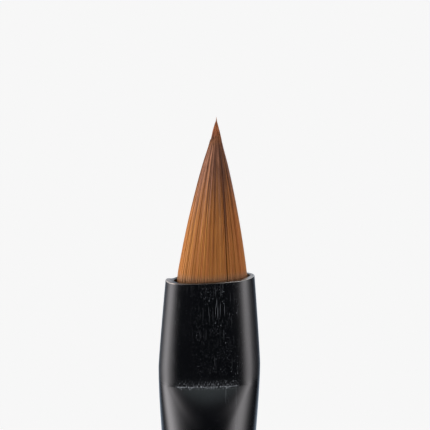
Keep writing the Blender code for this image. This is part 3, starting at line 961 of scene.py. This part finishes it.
def studio_world():
    """Pale to the camera, an even fill on matt surfaces, and two soft bands of light in the gloss."""
    world = bpy.data.worlds.new("studio")
    bpy.context.scene.world = world
    world.use_nodes = True
    world.cycles.sampling_method = "NONE"
    tree = world.node_tree
    tree.nodes.clear()

    def node(kind, *inputs, **settings):
        """A new node's outputs. Each of its first inputs takes the socket or the value given for it."""
        made = tree.nodes.new(kind)
        for key, value in settings.items():
            setattr(made, key, value)
        for socket, value in zip(made.inputs, inputs):
            if isinstance(value, bpy.types.NodeSocket):
                tree.links.new(value, socket)
            else:
                socket.default_value = value
        return made.outputs

    def calc(operation, a, b):
        return node("ShaderNodeMath", a, b, operation=operation)[0]

    def background(colour, strength):
        return node("ShaderNodeBackground", (*colour, 1.0), strength)[0]

    direction = node("ShaderNodeSeparateXYZ", node("ShaderNodeTexCoord")["Generated"])
    azimuth = calc("ARCTAN2", direction["X"], calc("MULTIPLY", direction["Y"], -1.0))
    degrees = calc("MULTIPLY", azimuth, 180.0 / math.pi)

    def gradient(axis, low, high, top):
        """Goes from 0 at low to top at high, along one axis of the direction."""
        settings = {"interpolation_type": "SMOOTHSTEP"}
        return node("ShaderNodeMapRange", direction[axis], low, high, 0.0, top, **settings)[0]

    def band(centre, low_side, high_side, peak):
        """A bell over the azimuth, with its own spread on each side of its centre."""
        offset = calc("SUBTRACT", degrees, centre)
        high = calc("MULTIPLY", calc("GREATER_THAN", offset, 0.0), calc("SUBTRACT", high_side, low_side))
        offset = calc("DIVIDE", offset, calc("ADD", high, low_side))
        height = calc("EXPONENT", calc("MULTIPLY", calc("MULTIPLY", offset, offset), -1.0), 0.0)
        return calc("MULTIPLY", height, peak)

    # The left band leans and widens both low down and high up, and the right one widens high up.
    leaning = calc("ADD", gradient("Z", -0.28, -0.38, 9.0), gradient("Z", -0.13, 0.12, 9.0))
    left_band = band(calc("SUBTRACT", leaning, 94.0), 18.0, calc("ADD", leaning, 25.0), 5.5)
    wider = gradient("Z", 0.0, 0.30, 8.0)
    right_band = band(65.0, calc("ADD", wider, 19.0), 22.0, 4.4)
    behind = background((0.66, 0.80, 1.0), calc("ADD", gradient("Y", 0.55, 0.92, 0.65), 0.035))
    bands = background((1.0, 0.965, 0.99), calc("ADD", left_band, right_band))
    overhead = background((0.84, 0.97, 1.0), gradient("Z", 0.38, 0.86, 0.78))
    gloss = node("ShaderNodeAddShader", behind, bands)[0]
    gloss = node("ShaderNodeAddShader", gloss, overhead)[0]

    fill = background((1.0, 1.0, 1.0), 0.35)
    seen = background((0.93, 0.93, 0.93), 1.0)
    path = node("ShaderNodeLightPath")
    unseen = node("ShaderNodeMixShader", path["Is Glossy Ray"], fill, gloss)[0]
    node("ShaderNodeOutputWorld", node("ShaderNodeMixShader", path["Is Camera Ray"], unseen, seen)[0])


def softbox(name, azimuth, width, power, colour):
    """An area light facing the tuft's foot. Azimuth is counted from the camera's side towards +X."""
    data = bpy.data.lights.new(name, "AREA")
    data.shape = "RECTANGLE"
    data.size = width
    data.size_y = SOFTBOX_HEIGHT
    data.energy = power
    data.color = colour
    obj = bpy.data.objects.new(name, data)
    bpy.context.scene.collection.objects.link(obj)
    a = math.radians(azimuth)
    level = math.cos(SOFTBOX_ELEVATION)
    out = Vector((math.sin(a) * level, -math.cos(a) * level, math.sin(SOFTBOX_ELEVATION)))
    obj.location = SOFTBOX_AIM + out * SOFTBOX_DISTANCE
    obj.rotation_euler = (-out).to_track_quat("-Z", "Y").to_euler()
    obj.visible_camera = False
    obj.visible_glossy = False
    return obj


def floor_sun():
    data = bpy.data.lights.new("floor_light", "SUN")
    data.energy = SUN_POWER
    data.angle = SUN_ANGLE
    obj = bpy.data.objects.new("floor_light", data)
    bpy.context.scene.collection.objects.link(obj)
    obj.rotation_euler = SUN_TILTS
    return obj


def place_camera():
    data = bpy.data.cameras.new("camera")
    data.sensor_width = SENSOR_WIDTH
    data.lens = SENSOR_WIDTH * DISTANCE / FIELD
    data.clip_start = 0.01
    data.clip_end = 30.0
    camera = bpy.data.objects.new("camera", data)
    bpy.context.scene.collection.objects.link(camera)
    back = Vector((0.0, -math.cos(ELEVATION), math.sin(ELEVATION)))
    look = (-back).to_track_quat("-Z", "Y").to_matrix().to_4x4()
    camera.matrix_world = Matrix.Translation(LOOK_AT + back * DISTANCE) @ look @ Matrix.Rotation(ROLL, 4, "Z")
    bpy.context.scene.camera = camera


floor = plain_floor()
studio_world()
left_box = softbox("left_softbox", -75.0, 0.50, 4.5, (1.0, 0.99, 0.985))
right_box = softbox("right_softbox", 72.0, 0.30, 1.9, (0.985, 0.99, 1.0))
sun = floor_sun()

# The sun lights only the floor, and the softboxes only the brush.
only_floor = bpy.data.collections.new("only_floor")
only_floor.objects.link(floor)
sun.light_linking.receiver_collection = only_floor
not_floor = bpy.data.collections.new("not_floor")
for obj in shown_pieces():
    not_floor.objects.link(obj)
for box in (left_box, right_box):
    box.light_linking.receiver_collection = not_floor

place_camera()
bpy.context.scene.view_settings.view_transform = "Standard"
